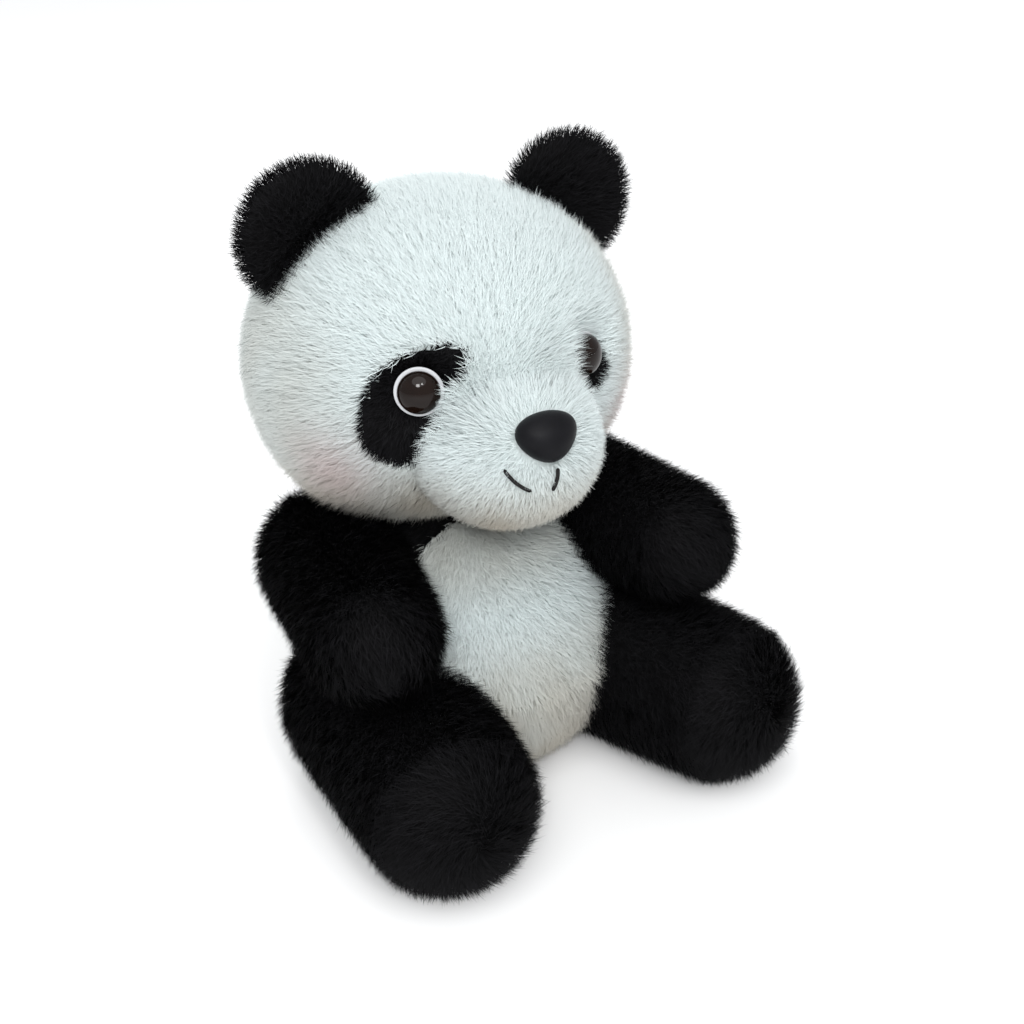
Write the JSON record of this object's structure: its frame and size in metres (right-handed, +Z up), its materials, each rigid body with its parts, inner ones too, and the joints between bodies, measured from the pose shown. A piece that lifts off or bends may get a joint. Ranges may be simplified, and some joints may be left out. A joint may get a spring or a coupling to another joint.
{
  "type": "plush panda",
  "caption": "Seated plush panda with long black and white pile, moulded eyes and nose, and sewn limbs that flex at their seams.",
  "frame": {"origin": "middle of the flat seat, on the surface that the toy sits on", "axes": "+Z up; the toy faces -Y; its right side is -X"},
  "size_m": [0.1615, 0.1701, 0.2073],
  "materials": {
    "white_pile": "brushed white plush pile on knitted backing",
    "cream_pile": "cream-shaded plush pile under the chin and throat",
    "black_pile": "brushed black plush pile on knitted backing",
    "eye_plastic": "polished black-brown dome",
    "ring_plastic": "white moulded ring",
    "nose_plastic": "matte black moulded nose",
    "black_thread": "stitching thread",
    "white_thread": "closing thread of the neck seam",
    "washer_plastic": "moulded lock washer",
    "polyester_stuffing": "loose fibre filling",
    "pouch_cloth": "plain woven lining",
    "pellets": "filling pellets"
  },
  "bodies": {
    "head": {"head_side_right": "white_pile", "eye_patch_right": "black_pile", "eye_ring_right": "ring_plastic", "eye_right": "eye_plastic", "eye_lock_washer_right": "washer_plastic", "head_side_left": "white_pile", "eye_patch_left": "black_pile", "eye_ring_left": "ring_plastic", "eye_left": "eye_plastic", "eye_lock_washer_left": "washer_plastic", "crown_gusset": "white_pile", "throat_panel": "cream_pile", "nose": "nose_plastic", "nose_lock_washer": "washer_plastic", "muzzle_panel": "white_pile", "chin_panel": "cream_pile", "mouth_stitch_right": "black_thread", "mouth_stitch_left": "black_thread", "head_stuffing": "polyester_stuffing"},
    "ear_right": {"ear_front_right": "black_pile", "ear_back_right": "black_pile"},
    "ear_left": {"ear_front_left": "black_pile", "ear_back_left": "black_pile"},
    "arm_right": {"arm_outer_panel_right": "black_pile", "arm_inner_panel_right": "black_pile", "arm_stuffing_right": "polyester_stuffing"},
    "leg_right": {"leg_upper_panel_right": "black_pile", "leg_under_panel_right": "black_pile", "foot_sole_panel_right": "black_pile", "leg_stuffing_right": "polyester_stuffing"},
    "arm_left": {"arm_outer_panel_left": "black_pile", "arm_inner_panel_left": "black_pile", "arm_stuffing_left": "polyester_stuffing"},
    "leg_left": {"leg_upper_panel_left": "black_pile", "leg_under_panel_left": "black_pile", "foot_sole_panel_left": "black_pile", "leg_stuffing_left": "polyester_stuffing"},
    "torso": {"belly_panel": "white_pile", "back_panel_right": "white_pile", "back_panel_left": "white_pile", "shoulder_yoke": "black_pile", "seat_panel": "white_pile", "pellet_pouch": "pouch_cloth", "plastic_pellets": "pellets", "torso_stuffing": "polyester_stuffing", "neck_thread": "white_thread", "tail": "white_pile"}
  },
  "joints": [
    {"name": "head_turn", "type": "hinge", "parent": "torso", "child": "head", "pos_m": [0, 0.002, 0.089], "axis": [0, 0, 1], "range_deg": [-25, 25], "stiffness_Nm_per_rad": 0.05},
    {"name": "arm_right_swing", "type": "hinge", "parent": "torso", "child": "arm_right", "pos_m": [-0.045, 0.003, 0.0736], "axis": [0, 0, -1], "range_deg": [-8, 35], "stiffness_Nm_per_rad": 0.02},
    {"name": "leg_right_spread", "type": "hinge", "parent": "torso", "child": "leg_right", "pos_m": [-0.043, -0.016, 0.0266], "axis": [0, 0, -1], "range_deg": [-5, 20], "stiffness_Nm_per_rad": 0.03},
    {"name": "ear_right_fold", "type": "hinge", "parent": "head", "child": "ear_right", "pos_m": [-0.038, 0.00868, 0.18182], "axis": [0.7259, -0.0891, 0.682], "range_deg": [-15, 15], "stiffness_Nm_per_rad": 0.004},
    {"name": "arm_left_swing", "type": "hinge", "parent": "torso", "child": "arm_left", "pos_m": [0.045, 0.003, 0.0736], "axis": [0, 0, 1], "range_deg": [-8, 35], "stiffness_Nm_per_rad": 0.02},
    {"name": "leg_left_spread", "type": "hinge", "parent": "torso", "child": "leg_left", "pos_m": [0.043, -0.016, 0.0266], "axis": [0, 0, 1], "range_deg": [-5, 20], "stiffness_Nm_per_rad": 0.03},
    {"name": "ear_left_fold", "type": "hinge", "parent": "head", "child": "ear_left", "pos_m": [0.0432, -0.00129, 0.17682], "axis": [0.638, -0.0783, -0.766], "range_deg": [-15, 15], "stiffness_Nm_per_rad": 0.004}
  ]
}
